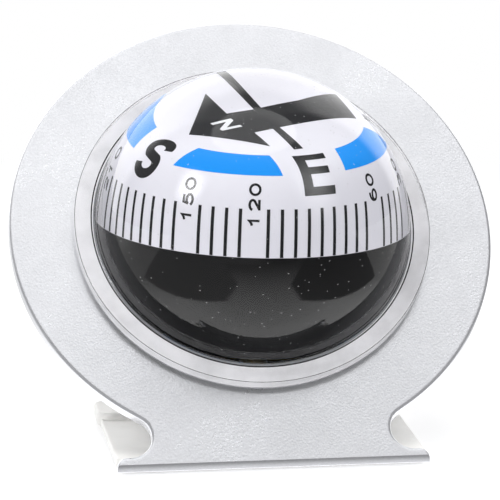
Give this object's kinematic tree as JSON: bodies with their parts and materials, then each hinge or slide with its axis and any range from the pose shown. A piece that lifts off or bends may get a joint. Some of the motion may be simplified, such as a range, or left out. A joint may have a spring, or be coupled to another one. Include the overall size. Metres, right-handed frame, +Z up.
{
  "type": "dashboard ball compass",
  "caption": "Liquid-filled ball compass in a leaning round face plate on a flat adhesive base, with a floating dial that turns and tilts on a needle.",
  "frame": {"origin": "centre of the outline box in X and Y, on the surface that the compass stands on", "axes": "+Z up, +X to the viewer's right, +Y away from the viewer; the face plate leans back and looks towards -Y"},
  "size_m": [0.066, 0.045, 0.0534],
  "materials": {
    "silver_paint": "silver metallic paint on moulded plastic, satin with a fine sparkle",
    "cream_plastic": "bare cream moulded plastic, satin",
    "foam_tape": "closed-cell adhesive foam",
    "clear_acrylic": "clear moulded acrylic, polished",
    "black_housing": "black moulded plastic, satin",
    "seal_rubber": "black rubber",
    "dial_white": "white moulded plastic with printed black and blue marks",
    "float_black": "gloss black moulded plastic",
    "grey_plastic": "grey moulded plastic",
    "brass": "turned brass",
    "steel": "ground and hardened",
    "jewel": "polished synthetic ruby",
    "magnet": "ground magnet alloy"
  },
  "bodies": {
    "housing": {"front_plate": "silver_paint", "base_plate": "cream_plastic", "adhesive_pad": "foam_tape", "front_dome": "clear_acrylic", "seal_ring": "seal_rubber", "rear_bowl": "black_housing", "lock_ring": "black_housing", "filler_plug": "brass", "plug_seal": "seal_rubber", "pivot_post": "brass", "pivot_needle": "steel"},
    "jewel": {"jewel_cup": "jewel"},
    "bush": {"jewel_bush": "brass"},
    "dial": {"dial_cap": "dial_white", "float_bowl": "float_black", "float_deck": "grey_plastic", "magnet_cradle": "grey_plastic", "magnet_left": "magnet", "magnet_right": "magnet", "balance_weight": "brass"}
  },
  "joints": [
    {"name": "dial_pitch", "type": "hinge", "parent": "housing", "child": "jewel", "pos_m": [0, -0.00058, 0.02872], "axis": [1, 0, 0], "range_deg": [-17, 17]},
    {"name": "dial_roll", "type": "hinge", "parent": "jewel", "child": "bush", "pos_m": [0, -0.00058, 0.02872], "axis": [0, 1, 0], "range_deg": [-17, 17]},
    {"name": "dial_heading", "type": "hinge", "parent": "bush", "child": "dial", "pos_m": [0, -0.00058, 0.02872], "axis": [0.0279, -0.0192, 0.9994], "continuous": true}
  ]
}
